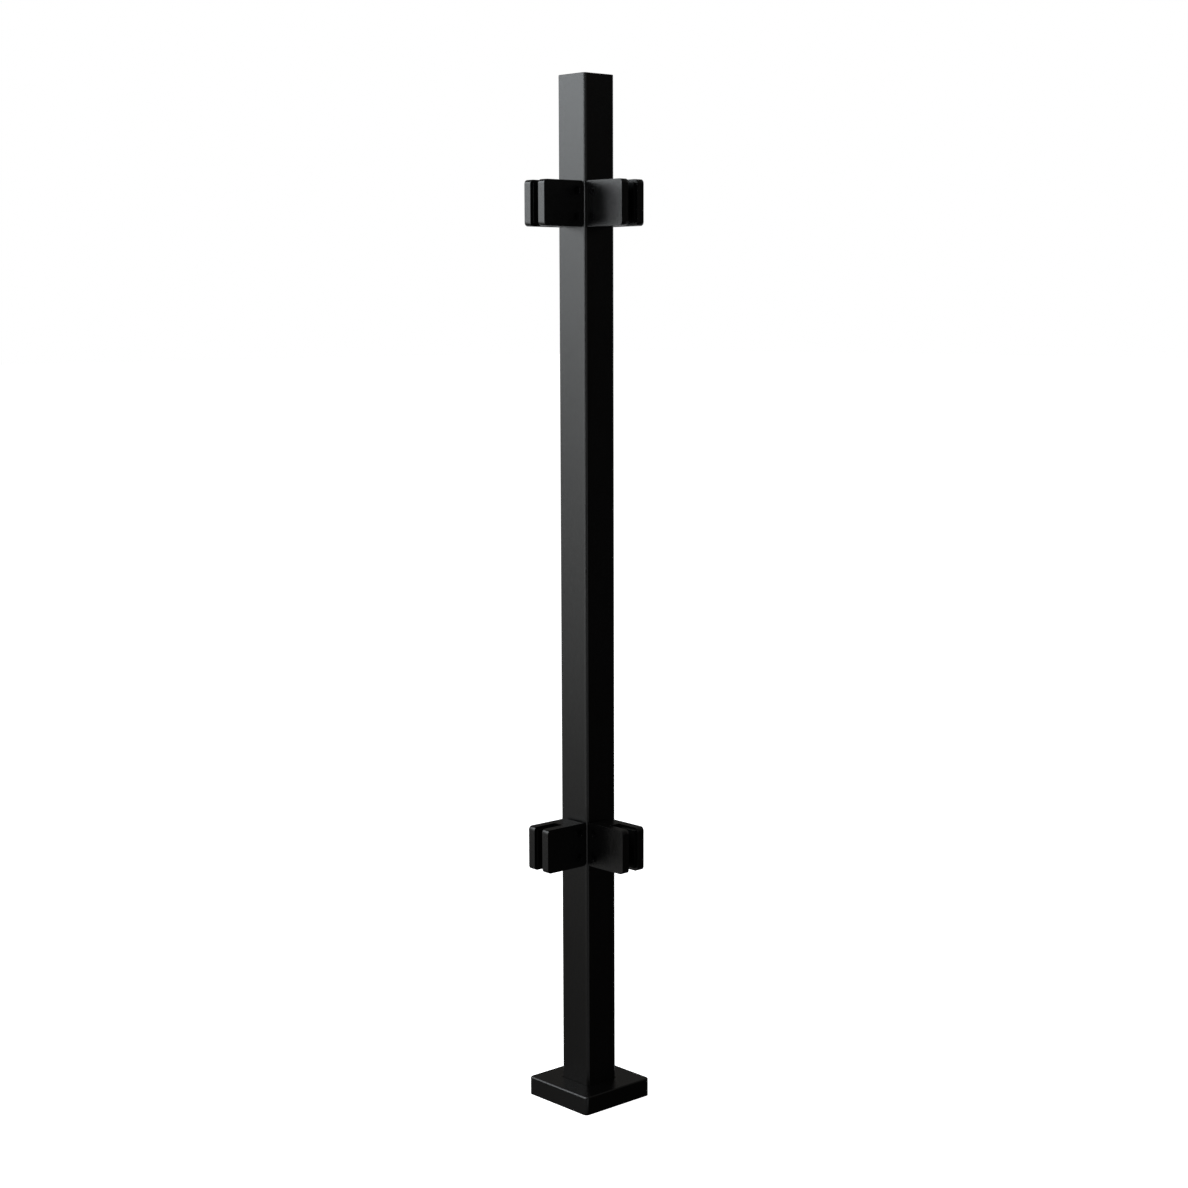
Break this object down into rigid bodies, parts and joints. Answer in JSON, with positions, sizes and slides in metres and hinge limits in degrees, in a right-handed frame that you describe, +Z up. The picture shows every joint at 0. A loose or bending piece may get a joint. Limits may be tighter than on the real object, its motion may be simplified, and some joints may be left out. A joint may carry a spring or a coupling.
{
  "type": "railing post",
  "caption": "Black square corner post for a glass railing, with a covered base plate, a flat cap and split glass clamps high and low on neighbouring faces.",
  "frame": {"origin": "on the tube's axis at floor level, on the underside of the base plate", "axes": "+Z up along the tube; +X out of the face with the right-hand clamps; -Y out of the face with the left-hand clamps"},
  "size_m": [0.1168, 0.1168, 1.05],
  "materials": {
    "black_coat": "satin",
    "black_plastic": "matte",
    "gasket_rubber": "matte",
    "black_screw": "satin",
    "zinc_steel": "satin"
  },
  "bodies": {
    "post": {"base_plate": "black_coat", "clamp_bolts": "black_screw", "jaw_screws": "black_screw", "lower_left_body_gasket": "gasket_rubber", "lower_left_clamp_body": "black_coat", "lower_left_clamp_jaw": "black_coat", "lower_left_jaw_gasket": "gasket_rubber", "lower_right_body_gasket": "gasket_rubber", "lower_right_clamp_body": "black_coat", "lower_right_clamp_jaw": "black_coat", "lower_right_jaw_gasket": "gasket_rubber", "post_tube": "black_coat", "rivet_nuts": "zinc_steel", "top_cap": "black_plastic", "upper_left_body_gasket": "gasket_rubber", "upper_left_clamp_body": "black_coat", "upper_left_clamp_jaw": "black_coat", "upper_left_jaw_gasket": "gasket_rubber", "upper_right_body_gasket": "gasket_rubber", "upper_right_clamp_body": "black_coat", "upper_right_clamp_jaw": "black_coat", "upper_right_jaw_gasket": "gasket_rubber"},
    "cover": {"base_cover": "black_coat"}
  },
  "joints": [
    {"name": "cover_slide", "type": "slide", "parent": "post", "child": "cover", "axis": [0, 0, 1], "range_m": [0, 0.2343]}
  ]
}
